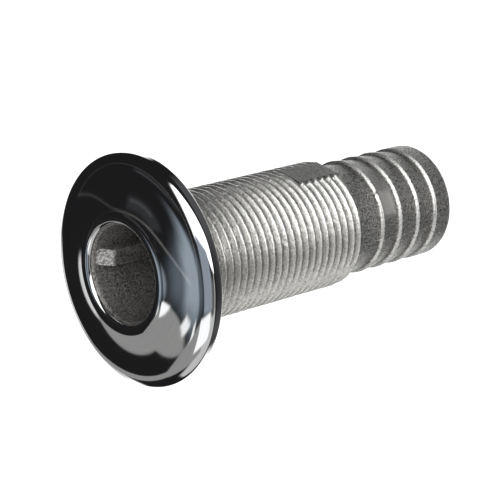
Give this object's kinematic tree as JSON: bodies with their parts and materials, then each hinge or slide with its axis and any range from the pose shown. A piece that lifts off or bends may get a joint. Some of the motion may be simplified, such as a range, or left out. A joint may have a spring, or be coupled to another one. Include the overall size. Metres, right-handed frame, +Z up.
{
  "type": "thru hull fitting",
  "caption": "Stainless thru hull fitting: polished mushroom head, threaded barrel with sealing gasket, washer and slim lock nut, and a barbed hose tail.",
  "frame": {"origin": "on the fitting's axis, in the seat plane at the back of the head, which bears on the hull's outside", "axes": "+X along the axis, inboard, from the head to the hose tail; +Z up, with the fitting in an upright hull side"},
  "size_m": [0.1011, 0.058, 0.058],
  "materials": {
    "cast_stainless": "mirror polished head, bead blasted casting behind it",
    "black_rubber": "matt",
    "turned_stainless": "turned, satin"
  },
  "bodies": {
    "fitting": {"fitting_body": "cast_stainless", "sealing_gasket": "black_rubber"},
    "washer": {"flat_washer": "turned_stainless"},
    "nut": {"lock_nut": "turned_stainless"}
  },
  "joints": [
    {"name": "washer_slide", "type": "slide", "parent": "fitting", "child": "washer", "axis": [1, 0, 0], "range_m": [0, 0.0347]},
    {"name": "nut_turn", "type": "hinge", "parent": "washer", "child": "nut", "pos_m": [0.0046, 0, 0], "axis": [1, 0, 0], "range_deg": [0, 5400]}
  ],
  "couplings": [
    {"joint": "washer_slide", "follows": "nut_turn", "m_per_rad": 0.00036749}
  ]
}
